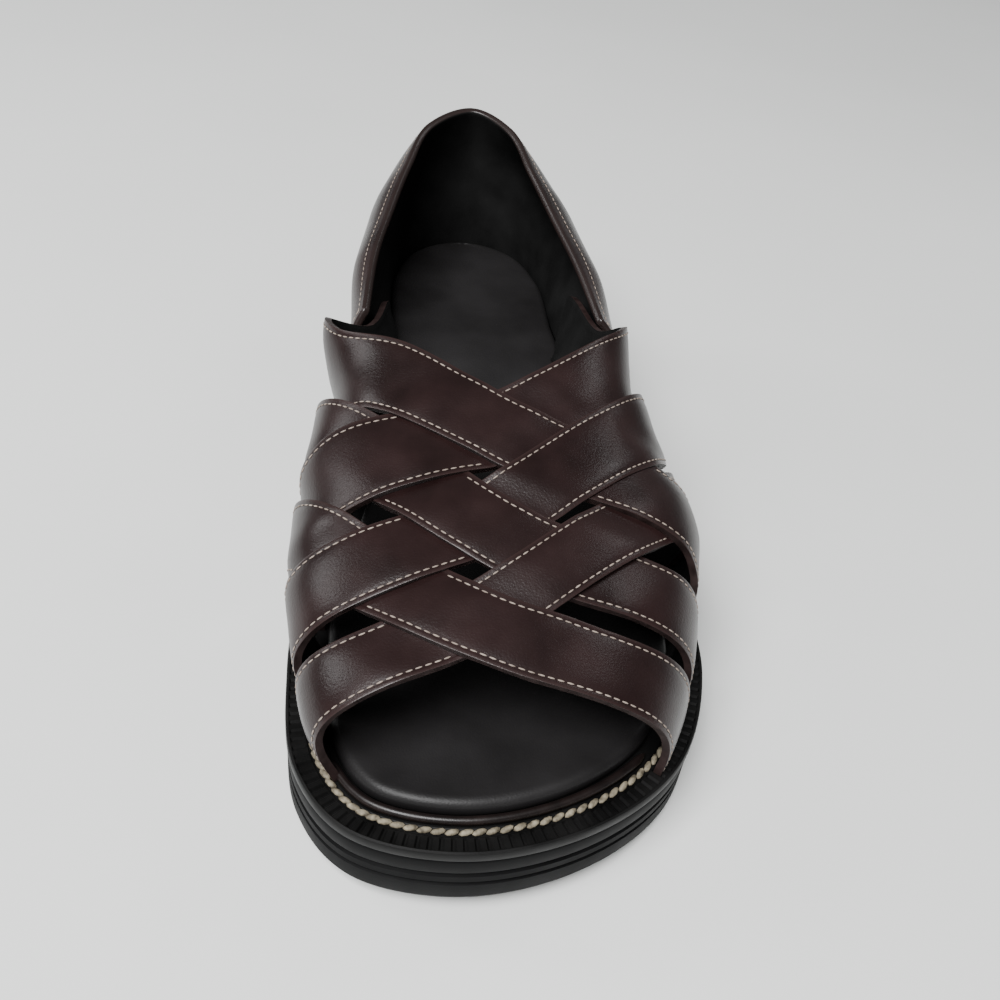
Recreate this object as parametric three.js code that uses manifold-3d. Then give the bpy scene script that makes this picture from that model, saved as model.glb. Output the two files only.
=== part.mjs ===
// Fisherman sandal for the left foot: six woven straps, a closed heel and a welted rubber sole.
// Millimetres, +Z up, toe towards -Y, inner side of the foot towards -X, standing on z = 0.
// A station is a distance along the sole from the toe tip. A girth is a distance over the foot,
// measured from the ridge of the instep, positive towards the outer side.
import * as THREE from 'three';
import Module from 'manifold-3d';

const wasm = await Module();
wasm.setup();

// Driving sizes
const LENGTH = 272;
const GAP = 0.3;
const DECK_AT_BALL = 19.5;
const HEEL_RISE = 11;
const HEEL_RISE_STARTS = 110;
const HEEL_RISE_ENDS = 200;
const TOE_SPRING = 5;
const TOE_SPRING_ENDS = 75;

// Sole layers, from the deck down
const WELT_THICKNESS = 3.2;
const WELT_WIDTH = 11;
const MIDSOLE_THICKNESS = 5;
const EDGE_BEVEL = 0.8;
const GROOVE_DEPTH = 0.8;
const GROOVE_HALF_HEIGHT = 0.7;
const GROOVE_BELOW_TOP = 3.5;
const TREAD_BEVEL = 2;
const ARCH_STARTS = 118;
const ARCH_ENDS = 178;
const ARCH_HEIGHT = 10;
const HEEL_BREAST = 194;
const HEEL_LAP = 1;
const OUTSOLE_INSET = 0.3;
const HEEL_INSET = 0.5;

// Footbed and toe roll
const INSOLE_INSET = 10.2;
const INSOLE_PLUG_INSET = 11.6;
const INSOLE_ABOVE_DECK = 4.5;
const INSOLE_EDGE_ROUND = 2.6;
const RAND_INSET = 8.2;
const RAND_RADIUS = 1.1;
const RAND_SIDES = 8;
const RAND_STEPS = 24;
const RAND_LAST_STATION = 13;

// Leather
const STRAP_THICKNESS = 2.4;
const WEAVE_LIFT = 0.9;
const WEAVE_RAMP_INNER = 0.5;
const WEAVE_RAMP_OUTER = 8;
const QUARTER_THICKNESS = 2.6;
// The quarter swells least at the back of the heel, and most a little above its middle
const QUARTER_BULGE_IN = 8.5;
const QUARTER_BULGE_OUT = 11;
const QUARTER_BULGE_BACK = 3;
const QUARTER_BULGE_REACH = 0.5;
const QUARTER_BULGE_POWER = 1.7;

// Mesh density
const SOLE_STATIONS = 34;
const HEEL_STATIONS = 14;
const STRAP_STEPS = 30;
const STRAP_CELLS = 4;
const SECTION_STEPS = 60;
const QUARTER_STEPS = 36;
const QUARTER_CELLS = 7;
const NORMAL_STEP = 0.5;

// Edge of the welt, seen from above
const TOE_TIP_X = -13;
const HEEL_BACK_X = 0.5;
const SOLE_ROWS = [
  { station: 7, medial: -39, lateral: 17 },
  { station: 25, medial: -51.5, lateral: 40.5 },
  { station: 55, medial: -55, lateral: 53.5 },
  { station: 85, medial: -53.5, lateral: 55 },
  { station: 120, medial: -45.5, lateral: 50.5 },
  { station: 160, medial: -37.5, lateral: 42 },
  { station: 200, medial: -35, lateral: 36.5 },
  { station: 234, medial: -34, lateral: 35 },
  { station: 257, medial: -26, lateral: 27 },
  { station: 268, medial: -14, lateral: 15 },
];

// Sections of the last under the straps: feather edges and ridge, then how far each side swells out
// and how round the shoulders are (1 round, 0 square)
const LAST_ROWS = [
  { at: 10, inner: -36, outer: 26, ridgeX: -12, ridgeZ: 50, swellIn: 7, swellOut: 5, shoulder: 0.8 },
  { at: 25, inner: -43.5, outer: 36, ridgeX: -11, ridgeZ: 53, swellIn: 9, swellOut: 3, shoulder: 0.75 },
  { at: 40, inner: -46.5, outer: 43, ridgeX: -9, ridgeZ: 56, swellIn: 10, swellOut: 3, shoulder: 0.7 },
  { at: 60, inner: -47.5, outer: 47.5, ridgeX: -6, ridgeZ: 61, swellIn: 12, swellOut: 5, shoulder: 0.62 },
  { at: 80, inner: -46.5, outer: 48.5, ridgeX: -3, ridgeZ: 65.5, swellIn: 12.5, swellOut: 8, shoulder: 0.6 },
  { at: 100, inner: -44, outer: 46.5, ridgeX: -1, ridgeZ: 70.5, swellIn: 15, swellOut: 7, shoulder: 0.6 },
  { at: 120, inner: -40, outer: 42.5, ridgeX: 0, ridgeZ: 77, swellIn: 14, swellOut: 4, shoulder: 0.48 },
  { at: 144, inner: -35, outer: 38, ridgeX: 0, ridgeZ: 84, swellIn: 17, swellOut: 4, shoulder: 0.2 },
  { at: 162, inner: -30, outer: 33, ridgeX: 0, ridgeZ: 88, swellIn: 9, swellOut: 5, shoulder: 0.3 },
  { at: 190, inner: -29, outer: 31, ridgeX: 0, ridgeZ: 91, swellIn: 4, swellOut: 4, shoulder: 0.4 },
];
const SECTION_ROUND = 0.9;
const FEATHER_ABOVE_DECK = 1;

// Straps: stations of the centre line at girths of 30 mm steps, from the rear end over the ridge to the
// front end. rearSide is the side of the rear end: -1 inner, +1 outer. The first strap of each side ends
// as a tab inside the quarter, so its rear end is at a smaller girth. The others reach the welt twice.
const GIRTH_STEP = 30;
const STRAP_ROWS = [
  {
    rearSide: -1, order: 1, width: 19.5, rearEndGirth: 74,
    rearEnd: 172, rear60: 135, rear30: 113, ridge: 93, front30: 82, front60: 78, frontEnd: 77,
  },
  {
    rearSide: -1, order: 2, width: 17.5, rearEndGirth: 90,
    rearEnd: 127, rear60: 111, rear30: 85, ridge: 62.5, front30: 53, front60: 52, frontEnd: 53,
  },
  {
    rearSide: -1, order: 3, width: 17, rearEndGirth: 90,
    rearEnd: 92, rear60: 79, rear30: 55.5, ridge: 37.5, front30: 30, front60: 30, frontEnd: 32,
  },
  {
    rearSide: 1, order: 1, width: 22, rearEndGirth: 74,
    rearEnd: 178, rear60: 146, rear30: 115, ridge: 95.5, front30: 86, front60: 82, frontEnd: 80,
  },
  {
    rearSide: 1, order: 2, width: 20, rearEndGirth: 90,
    rearEnd: 136, rear60: 120, rear30: 94, ridge: 69, front30: 56, front60: 52, frontEnd: 52,
  },
  {
    rearSide: 1, order: 3, width: 17, rearEndGirth: 90,
    rearEnd: 106, rear60: 92, rear30: 66, ridge: 42, front30: 31, front60: 29, frontEnd: 30,
  },
];
const TAB_END_GIRTH = 71;
const FOOT_END_GIRTH = 112;
// The front edge of a tab is tucked in under the strap before it
const TAB_TUCK = 5;
const TAB_TUCK_STARTS = 30;
const TAB_TUCK_ENDS = 58;

// Heel quarter: foot line on the welt and topline, from the front edges to the back of the heel
const QUARTER_ROWS = [
  { footStation: 151, footIn: -34, footOut: 38, topStation: 166, topIn: -36.5, topOut: 36, topZ: 60 },
  { footStation: 182, footIn: -31, footOut: 33.5, topStation: 190, topIn: -33.5, topOut: 30.5, topZ: 67 },
  { footStation: 210, footIn: -29.5, footOut: 30.5, topStation: 211, topIn: -28.5, topOut: 24.5, topZ: 73 },
  { footStation: 234, footIn: -28, footOut: 29, topStation: 232, topIn: -22.5, topOut: 18, topZ: 80 },
  { footStation: 255, footIn: -19.5, footOut: 20.5, topStation: 251, topIn: -15, topOut: 11, topZ: 86 },
];
const QUARTER_BACK = { footStation: 265.5, footX: 0.5, topStation: 262, topX: 0, topZ: 88.5 };

const { smoothstep, clamp, lerp } = THREE.MathUtils;

// Smooth curve through one column of a table, as a function of the key column
function column(keys, values) {
  const last = keys.length - 1;
  const slope = (i) => {
    const before = Math.max(i - 1, 0);
    const after = Math.min(i + 1, last);
    return (values[after] - values[before]) / (keys[after] - keys[before]);
  };
  return (key) => {
    const at = clamp(key, keys[0], keys[last]);
    let i = 0;
    while (i < last - 1 && at > keys[i + 1]) i += 1;
    const span = keys[i + 1] - keys[i];
    const u = (at - keys[i]) / span;
    const rise = values[i + 1] - values[i];
    const cubic = span * (slope(i) + slope(i + 1)) - 2 * rise;
    const square = 3 * rise - span * (2 * slope(i) + slope(i + 1));
    return values[i] + u * (span * slope(i) + u * (square + u * cubic));
  };
}

function columnOf(rows, key, name) {
  return column(rows.map((row) => row[key]), rows.map((row) => row[name]));
}

// Heights along the sole
function spring(station) {
  return TOE_SPRING * Math.max(0, (TOE_SPRING_ENDS - station) / TOE_SPRING_ENDS) ** 2;
}

function deck(station) {
  return DECK_AT_BALL + spring(station) + HEEL_RISE * smoothstep(station, HEEL_RISE_STARTS, HEEL_RISE_ENDS);
}

function underside(station) {
  return spring(station) + ARCH_HEIGHT * smoothstep(station, ARCH_STARTS, ARCH_ENDS);
}

function outsoleTop(station) {
  return deck(station) - WELT_THICKNESS - MIDSOLE_THICKNESS - 2 * GAP;
}

// A closed geometry from points and triangles, turned so that its faces point out
function closedGeometry(points, triangles) {
  let volume = 0;
  const cross = new THREE.Vector3();
  for (const [a, b, c] of triangles) {
    volume += points[a].dot(cross.crossVectors(points[b], points[c]));
  }
  const index = triangles.flatMap(([a, b, c]) => (volume > 0 ? [a, b, c] : [a, c, b]));
  const geometry = new THREE.BufferGeometry().setFromPoints(points);
  geometry.setIndex(index);
  return geometry;
}

function quad(a, b, c, d) {
  return [[a, b, c], [a, c, d]];
}

// The welt's edge as one smooth loop: toe tip, inner side, heel back, outer side
function soleLoop() {
  const point = (x, station) => new THREE.Vector3(x, station, 0);
  const medial = SOLE_ROWS.map((row) => point(row.medial, row.station));
  const lateral = SOLE_ROWS.map((row) => point(row.lateral, row.station)).reverse();
  const loop = [point(TOE_TIP_X, 0), ...medial, point(HEEL_BACK_X, LENGTH), ...lateral];
  return new THREE.CatmullRomCurve3(loop, true, 'centripetal');
}

const edgeLoop = soleLoop();

// Place on the loop at a station, on the inner half (side -1) or the outer half (side +1)
function loopPlace(station, side) {
  let near = side < 0 ? 0 : 1;
  let far = 0.5;
  for (let i = 0; i < 40; i += 1) {
    const middle = (near + far) / 2;
    if (edgeLoop.getPoint(middle).y < station) near = middle;
    else far = middle;
  }
  return (near + far) / 2;
}

// Loop of points at an inset from the edge: along the inner side from the first station to the last,
// then back along the outer side. The toe tip and the heel back are shared by both sides.
function insetLoop(inset, stations) {
  const at = (station, side) => {
    const place = loopPlace(station, side);
    const point = edgeLoop.getPoint(place);
    const along = edgeLoop.getTangent(place);
    return new THREE.Vector3(point.x + along.y * inset, point.y - along.x * inset, 0);
  };
  const inner = stations.map((station) => at(station, -1));
  const startsAtTip = stations[0] === 0;
  const outer = stations.slice(startsAtTip ? 1 : 0, -1).reverse().map((station) => at(station, 1));
  return [...inner, ...outer];
}

function spreadStations(count, first, last, ease) {
  return Array.from({ length: count + 1 }, (_, i) => lerp(first, last, ease(i / count)));
}

const wholeSole = spreadStations(SOLE_STATIONS, 0, LENGTH, (u) => (1 - Math.cos(Math.PI * u)) / 2);
const heelOnly = spreadStations(HEEL_STATIONS, HEEL_BREAST, LENGTH, (u) => Math.sin((Math.PI / 2) * u));

// Points of a stack of rings, each given by its inset and its height along the sole
function ringStack(rings, stations) {
  return rings.map(({ inset, height }) => {
    const loop = insetLoop(inset, stations);
    return loop.map((point) => new THREE.Vector3(point.x, point.y, height(point.y)));
  });
}

function bandsBetween(ringCount, size, wrap) {
  const triangles = [];
  const bands = wrap ? ringCount : ringCount - 1;
  for (let ring = 0; ring < bands; ring += 1) {
    const low = ring * size;
    const high = ((ring + 1) % ringCount) * size;
    for (let i = 0; i < size; i += 1) {
      const next = (i + 1) % size;
      triangles.push(...quad(low + i, low + next, high + next, high + i));
    }
  }
  return triangles;
}

// A plate: rings from the bottom to the top, closed by rungs from the inner to the outer side
function plate(rings, stations = wholeSole) {
  const points = ringStack(rings, stations).flat();
  const size = points.length / rings.length;
  const last = stations.length - 1;
  const firstOuter = stations[0] === 0 ? 0 : size - 1;
  const outer = (i) => (i === last ? last : (firstOuter - i + size) % size);
  const triangles = bandsBetween(rings.length, size, false);
  const cap = (start, order) => {
    for (let i = 0; i < last; i += 1) {
      const rungs = quad(i, i + 1, outer(i + 1), outer(i)).filter((cell) => new Set(cell).size === 3);
      triangles.push(...rungs.map((cell) => order.map((corner) => start + cell[corner])));
    }
  };
  cap(0, [0, 2, 1]);
  cap((rings.length - 1) * size, [0, 1, 2]);
  return closedGeometry(points, triangles);
}

// A ring around the whole sole, its section a closed loop of insets and heights
function soleRing(rings) {
  const points = ringStack(rings, wholeSole).flat();
  return closedGeometry(points, bandsBetween(rings.length, points.length / rings.length, true));
}

// A slab between two grids of points
function slab(outer, inner) {
  const rows = outer.length;
  const columns = outer[0].length;
  const points = [...outer.flat(), ...inner.flat()];
  const at = (row, cell) => row * columns + cell;
  const under = rows * columns;
  const triangles = [];
  for (let row = 0; row < rows - 1; row += 1) {
    for (let cell = 0; cell < columns - 1; cell += 1) {
      const [a, b, c, d] = [at(row, cell), at(row + 1, cell), at(row + 1, cell + 1), at(row, cell + 1)];
      triangles.push(...quad(a, b, c, d));
      triangles.push(...quad(d + under, c + under, b + under, a + under));
    }
  }
  const side = (a, b) => triangles.push(...quad(b, a, a + under, b + under));
  for (let row = 0; row < rows - 1; row += 1) {
    side(at(row, 0), at(row + 1, 0));
    side(at(row + 1, columns - 1), at(row, columns - 1));
  }
  for (let cell = 0; cell < columns - 1; cell += 1) {
    side(at(0, cell + 1), at(0, cell));
    side(at(rows - 1, cell), at(rows - 1, cell + 1));
  }
  return closedGeometry(points, triangles);
}

// Boolean solids
function solidOf(geometry) {
  const vertProperties = new Float32Array(geometry.attributes.position.array);
  const triVerts = new Uint32Array(geometry.index.array);
  return new wasm.Manifold(new wasm.Mesh({ numProp: 3, vertProperties, triVerts }));
}

function geometryOf(solid) {
  const { vertProperties, triVerts } = solid.getMesh();
  const geometry = new THREE.BufferGeometry();
  geometry.setAttribute('position', new THREE.BufferAttribute(vertProperties, 3));
  geometry.setIndex(new THREE.BufferAttribute(triVerts, 1));
  return geometry;
}

// The last: one section across the foot, as points from the outer feather edge over to the inner one
const lastColumns = Object.fromEntries(
  Object.keys(LAST_ROWS[0]).map((name) => [name, columnOf(LAST_ROWS, 'at', name)]),
);

function lastSection(station) {
  const { inner, outer, ridgeX, ridgeZ, swellIn, swellOut, shoulder } = lastColumns;
  const featherZ = deck(station) + FEATHER_ABOVE_DECK;
  const height = ridgeZ(station) - featherZ;
  const centre = ridgeX(station);
  const points = [];
  for (let i = 0; i <= SECTION_STEPS; i += 1) {
    const angle = (Math.PI * i) / SECTION_STEPS;
    const isOuter = i <= SECTION_STEPS / 2;
    const across = Math.abs(Math.cos(angle));
    const up = Math.sin(angle);
    const half = isOuter ? outer(station) - centre : centre - inner(station);
    const swell = (isOuter ? swellOut(station) : swellIn(station)) * 2 * up * across;
    const reach = (half + swell) * across ** shoulder(station);
    const x = centre + (isOuter ? reach : -reach);
    points.push(new THREE.Vector3(x, station, featherZ + height * up ** SECTION_ROUND));
  }
  return points;
}

// Point of the last at a girth and a station. Past the feather edge the wall goes straight down.
function lastPoint(girth, station) {
  const section = lastSection(station);
  const step = girth > 0 ? -1 : 1;
  let i = SECTION_STEPS / 2;
  let left = Math.abs(girth);
  while (i + step >= 0 && i + step <= SECTION_STEPS) {
    const length = section[i].distanceTo(section[i + step]);
    if (left <= length) return section[i].clone().lerp(section[i + step], left / length);
    left -= length;
    i += step;
  }
  return section[i].clone().add(new THREE.Vector3(0, 0, -left));
}

function lastNormal(girth, station) {
  const across = lastPoint(girth + NORMAL_STEP, station).sub(lastPoint(girth - NORMAL_STEP, station));
  const along = lastPoint(girth, station + NORMAL_STEP).sub(lastPoint(girth, station - NORMAL_STEP));
  return across.cross(along).normalize();
}

// Straps as bands in the plane of girth and station
const straps = STRAP_ROWS.map((row) => {
  const stations = [row.rearEnd, row.rear60, row.rear30, row.ridge, row.front30, row.front60, row.frontEnd];
  const girths = [-row.rearEndGirth, ...[-2, -1, 0, 1, 2, 3].map((step) => step * GIRTH_STEP)];
  const fromRear = column(girths, stations);
  const centre = (girth) => fromRear(-girth * row.rearSide);
  const slope = (girth) => (centre(girth + NORMAL_STEP) - centre(girth - NORMAL_STEP)) / (2 * NORMAL_STEP);
  return { ...row, centre, slope };
});

function distanceFrom(strap, girth, station) {
  return Math.abs(station - strap.centre(girth)) / Math.hypot(1, strap.slope(girth));
}

// How far a strap is lifted by the ones that it passes over, and sunk by those that it passes under.
// Across the weave the turns alternate. Along it, the strap in front lies over the one behind.
function weaveLift(strap, girth, station) {
  let lift = 0;
  for (const other of straps) {
    if (other === strap) continue;
    const crossing = other.rearSide !== strap.rearSide;
    const innerOnTop = (other.order + strap.order) % 2 === 0;
    const over = crossing ? innerOnTop === (strap.rearSide < 0) : strap.order > other.order;
    const reach = crossing ? other.width / 2 : other.width / 2 - WEAVE_RAMP_OUTER / 2;
    const distance = distanceFrom(other, girth, station);
    const held = 1 - smoothstep(distance, reach + WEAVE_RAMP_INNER, reach + WEAVE_RAMP_OUTER);
    lift += (over ? 1 : -1) * held * WEAVE_LIFT;
  }
  return clamp(lift, -WEAVE_LIFT, WEAVE_LIFT);
}

function tabTuck(strap, girth, aside) {
  if (strap.order !== 1) return 0;
  const forward = 0.5 - aside / strap.width;
  return TAB_TUCK * forward * smoothstep(girth * strap.rearSide, TAB_TUCK_STARTS, TAB_TUCK_ENDS);
}

function strapGeometry(strap) {
  const rearEnd = strap.order === 1 ? TAB_END_GIRTH : FOOT_END_GIRTH;
  const outer = [];
  const inner = [];
  for (let i = 0; i <= STRAP_STEPS; i += 1) {
    const girth = strap.rearSide * lerp(-FOOT_END_GIRTH, rearEnd, i / STRAP_STEPS);
    const slope = strap.slope(girth);
    const scale = 1 / Math.hypot(1, slope);
    const rows = [[], []];
    for (let j = 0; j <= STRAP_CELLS; j += 1) {
      const aside = strap.width * (j / STRAP_CELLS - 0.5);
      const at = [girth - aside * slope * scale, strap.centre(girth) + aside * scale];
      const point = lastPoint(...at);
      const normal = lastNormal(...at);
      const lift = weaveLift(strap, ...at) - tabTuck(strap, girth, aside);
      rows[0].push(point.clone().addScaledVector(normal, lift + STRAP_THICKNESS / 2));
      rows[1].push(point.clone().addScaledVector(normal, lift - STRAP_THICKNESS / 2));
    }
    outer.push(rows[0]);
    inner.push(rows[1]);
  }
  return slab(outer, inner);
}

// Everything below the welt's top, wider than the sole, which trims the feet of the straps
function belowDeck() {
  const clear = -40;
  return plate([
    { inset: clear, height: () => 2 * clear },
    { inset: clear, height: (station) => deck(station) + GAP },
  ]);
}

function vampGeometry() {
  const bands = straps.map((strap) => solidOf(strapGeometry(strap)));
  const woven = bands.reduce((whole, band) => whole.add(band));
  return geometryOf(woven.subtract(solidOf(belowDeck())));
}

function quarterBulge(place, up) {
  const side = 2 * place - 1;
  const full = side < 0 ? QUARTER_BULGE_IN : QUARTER_BULGE_OUT;
  const size = lerp(QUARTER_BULGE_BACK, full, smoothstep(Math.abs(side), 0, QUARTER_BULGE_REACH));
  return size * Math.sin(Math.PI * up ** QUARTER_BULGE_POWER);
}

// The quarter: a wall between its foot line and its topline, bulging between them
function quarterGeometry() {
  const line = (innerPoint, outerPoint, backPoint) => {
    const points = [...QUARTER_ROWS.map(innerPoint), backPoint, ...QUARTER_ROWS.map(outerPoint).reverse()];
    return new THREE.CatmullRomCurve3(points, false, 'centripetal');
  };
  const foot = line(
    (row) => new THREE.Vector3(row.footIn, row.footStation, 0),
    (row) => new THREE.Vector3(row.footOut, row.footStation, 0),
    new THREE.Vector3(QUARTER_BACK.footX, QUARTER_BACK.footStation, 0),
  );
  const top = line(
    (row) => new THREE.Vector3(row.topIn, row.topStation, row.topZ),
    (row) => new THREE.Vector3(row.topOut, row.topStation, row.topZ),
    new THREE.Vector3(QUARTER_BACK.topX, QUARTER_BACK.topStation, QUARTER_BACK.topZ),
  );
  const outer = [];
  const inner = [];
  for (let i = 0; i <= QUARTER_STEPS; i += 1) {
    const place = i / QUARTER_STEPS;
    const low = foot.getPoint(place);
    low.z = deck(low.y) + GAP;
    const high = top.getPoint(place);
    const along = foot.getTangent(place).lerp(top.getTangent(place), 0.5);
    const out = new THREE.Vector3(-along.y, along.x, 0).normalize();
    const rows = [[], []];
    for (let j = 0; j <= QUARTER_CELLS; j += 1) {
      const up = j / QUARTER_CELLS;
      const middle = low.clone().lerp(high, up).addScaledVector(out, quarterBulge(place, up));
      rows[0].push(middle.clone().addScaledVector(out, QUARTER_THICKNESS / 2));
      rows[1].push(middle.clone().addScaledVector(out, -QUARTER_THICKNESS / 2));
    }
    outer.push(rows[0]);
    inner.push(rows[1]);
  }
  return slab(outer, inner);
}

// Rubber unit: a plate with a groove around its side, and the heel block under it
function outsoleGeometry() {
  const groove = (station) => outsoleTop(station) - GROOVE_BELOW_TOP;
  const body = plate([
    { inset: TREAD_BEVEL, height: underside },
    { inset: OUTSOLE_INSET, height: (station) => underside(station) + TREAD_BEVEL },
    { inset: OUTSOLE_INSET, height: (station) => groove(station) - GROOVE_HALF_HEIGHT },
    { inset: OUTSOLE_INSET + GROOVE_DEPTH, height: groove },
    { inset: OUTSOLE_INSET, height: (station) => groove(station) + GROOVE_HALF_HEIGHT },
    { inset: OUTSOLE_INSET, height: (station) => outsoleTop(station) - EDGE_BEVEL },
    { inset: OUTSOLE_INSET + EDGE_BEVEL, height: outsoleTop },
  ]);
  const heel = plate([
    { inset: TREAD_BEVEL, height: () => 0 },
    { inset: HEEL_INSET, height: () => TREAD_BEVEL },
    { inset: HEEL_INSET, height: () => ARCH_HEIGHT + TREAD_BEVEL + HEEL_LAP },
  ], heelOnly);
  return geometryOf(solidOf(body).add(solidOf(heel)));
}

function midsoleGeometry() {
  const top = (station) => deck(station) - WELT_THICKNESS - GAP;
  const bottom = (station) => top(station) - MIDSOLE_THICKNESS;
  return plate([
    { inset: OUTSOLE_INSET + EDGE_BEVEL, height: bottom },
    { inset: OUTSOLE_INSET, height: (station) => bottom(station) + EDGE_BEVEL },
    { inset: OUTSOLE_INSET, height: (station) => top(station) - EDGE_BEVEL },
    { inset: OUTSOLE_INSET + EDGE_BEVEL, height: top },
  ]);
}

function weltGeometry() {
  const bottom = (station) => deck(station) - WELT_THICKNESS;
  return soleRing([
    { inset: EDGE_BEVEL, height: bottom },
    { inset: 0, height: (station) => bottom(station) + EDGE_BEVEL },
    { inset: 0, height: (station) => deck(station) - EDGE_BEVEL },
    { inset: EDGE_BEVEL, height: deck },
    { inset: WELT_WIDTH, height: deck },
    { inset: WELT_WIDTH, height: bottom },
  ]);
}

// Footbed: its base fills the welt ring, and its padded edge laps over the ring
function insoleGeometry() {
  const bottom = (station) => deck(station) - WELT_THICKNESS;
  const lap = (station) => deck(station) + GAP;
  const top = (station) => deck(station) + INSOLE_ABOVE_DECK;
  const midRound = INSOLE_EDGE_ROUND * (1 - Math.SQRT1_2);
  return plate([
    { inset: INSOLE_PLUG_INSET, height: bottom },
    { inset: INSOLE_PLUG_INSET, height: lap },
    { inset: INSOLE_INSET, height: lap },
    { inset: INSOLE_INSET, height: (station) => top(station) - INSOLE_EDGE_ROUND },
    { inset: INSOLE_INSET + midRound, height: (station) => top(station) - midRound },
    { inset: INSOLE_INSET + INSOLE_EDGE_ROUND, height: top },
  ]);
}

// Leather roll along the open toe, lying on the welt
function randGeometry() {
  const half = spreadStations(RAND_STEPS / 2, 0, RAND_LAST_STATION, (u) => u ** 2);
  const loop = insetLoop(RAND_INSET, [...half, LENGTH]);
  const medial = loop.slice(1, half.length).reverse();
  const lateral = loop.slice(half.length + 1).reverse();
  const path = [...medial, loop[0], ...lateral];
  for (const point of path) point.z = deck(point.y) + GAP + RAND_RADIUS;
  const section = new THREE.Shape().absarc(0, 0, RAND_RADIUS, 0, 2 * Math.PI);
  return new THREE.ExtrudeGeometry(section, {
    steps: RAND_STEPS,
    curveSegments: RAND_SIDES / 2,
    bevelEnabled: false,
    extrudePath: new THREE.CatmullRomCurve3(path, false, 'centripetal'),
  });
}

// Assembly, with the middle of the whole sandal over the origin
const sandal = new THREE.Group();

function piece(name, geometry, colour, roughness) {
  const material = new THREE.MeshStandardMaterial({ color: colour, roughness, metalness: 0 });
  const mesh = new THREE.Mesh(geometry, material);
  mesh.name = name;
  sandal.add(mesh);
}

piece('outsole', outsoleGeometry(), 0x262628, 0.7);
piece('midsole', midsoleGeometry(), 0x262628, 0.65);
piece('welt', weltGeometry(), 0x2a2a2b, 0.6);
piece('insole', insoleGeometry(), 0x2d2b2c, 0.5);
piece('rand', randGeometry(), 0x33231f, 0.4);
piece('vamp', vampGeometry(), 0x3c2727, 0.35);
piece('quarter', quarterGeometry(), 0x3c2727, 0.35);

const middle = new THREE.Box3().setFromObject(sandal).getCenter(new THREE.Vector3());
sandal.position.set(-middle.x, -middle.y, 0);

export default sandal;
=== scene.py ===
import math

import bmesh
import bpy
import numpy as np
from mathutils import Matrix, Vector


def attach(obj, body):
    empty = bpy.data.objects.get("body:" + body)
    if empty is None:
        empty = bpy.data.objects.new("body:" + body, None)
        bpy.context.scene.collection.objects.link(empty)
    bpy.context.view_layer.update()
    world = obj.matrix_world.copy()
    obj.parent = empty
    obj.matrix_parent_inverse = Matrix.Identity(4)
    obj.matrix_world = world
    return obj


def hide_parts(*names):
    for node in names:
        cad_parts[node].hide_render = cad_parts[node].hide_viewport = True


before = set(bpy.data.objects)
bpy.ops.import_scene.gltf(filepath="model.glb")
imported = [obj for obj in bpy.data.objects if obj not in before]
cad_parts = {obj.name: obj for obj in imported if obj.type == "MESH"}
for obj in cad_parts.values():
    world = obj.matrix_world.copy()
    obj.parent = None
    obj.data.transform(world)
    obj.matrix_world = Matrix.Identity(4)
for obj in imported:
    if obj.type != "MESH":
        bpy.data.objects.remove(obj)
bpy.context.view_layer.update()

# Camera: stands in front of the toe, a little to the inner side, and looks down along the shoe.
# It is rolled a little, so that the shoe stands upright in the middle of the picture.
camera_data = bpy.data.cameras.new("camera")
camera_data.lens = 39
camera_data.sensor_width = 36
camera = bpy.data.objects.new("camera", camera_data)
camera.location = (-0.0389, -0.2636, 0.233)
camera.rotation_euler = (math.radians(49.9), math.radians(-6), math.radians(-4.9))
bpy.context.collection.objects.link(camera)
bpy.context.scene.camera = camera

# Outsole: one moulded unit of black rubber with a heel block, an arch and a shallow tread of bars.
# A groove runs round its side, and its upper edge is bevelled where the midsole is cemented on.
# Sizes are in millimetres, and a station is a distance along the sole from the toe tip.
MM = 0.001
SOLE_LENGTH = 272
LAYER_GAP = 0.3
WELT_THICKNESS = 3.2
MIDSOLE_THICKNESS = 5
DECK_AT_BALL = 19.5
HEEL_RISE = 11
TOE_SPRING = 5
TOE_SPRING_ENDS = 75
ARCH_HEIGHT = 10


def smooth_between(value, low, high):
    u = np.clip((value - low) / (high - low), 0, 1)
    return u * u * (3 - 2 * u)


def toe_spring(station):
    return TOE_SPRING * np.maximum(0, (TOE_SPRING_ENDS - station) / TOE_SPRING_ENDS) ** 2


def welt_top(station):
    return DECK_AT_BALL + toe_spring(station) + HEEL_RISE * smooth_between(station, 110, 200)


def smooth_path(points, closed):
    count = len(points)
    spans = count if closed else count - 1

    def knot(i):
        if closed:
            return points[i % count]
        if i < 0:
            return 2 * points[0] - points[1]
        if i >= count:
            return 2 * points[-1] - points[-2]
        return points[i]

    def at(place):
        run = min(max(float(place), 0), 1) * spans
        i = min(int(run), spans - 1)
        u = run - i
        before, start, end, after = [knot(i + step) for step in (-1, 0, 1, 2)]
        a = (start - before).length ** 0.5
        b = (end - start).length ** 0.5
        c = (after - end).length ** 0.5
        leave = ((start - before) / a - (end - before) / (a + b) + (end - start) / b) * b
        arrive = ((end - start) / b - (after - start) / (b + c) + (after - end) / c) * b
        square = 3 * (end - start) - 2 * leave - arrive
        cubic = 2 * (start - end) + leave + arrive
        return start + u * (leave + u * (square + u * cubic))

    return at


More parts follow.
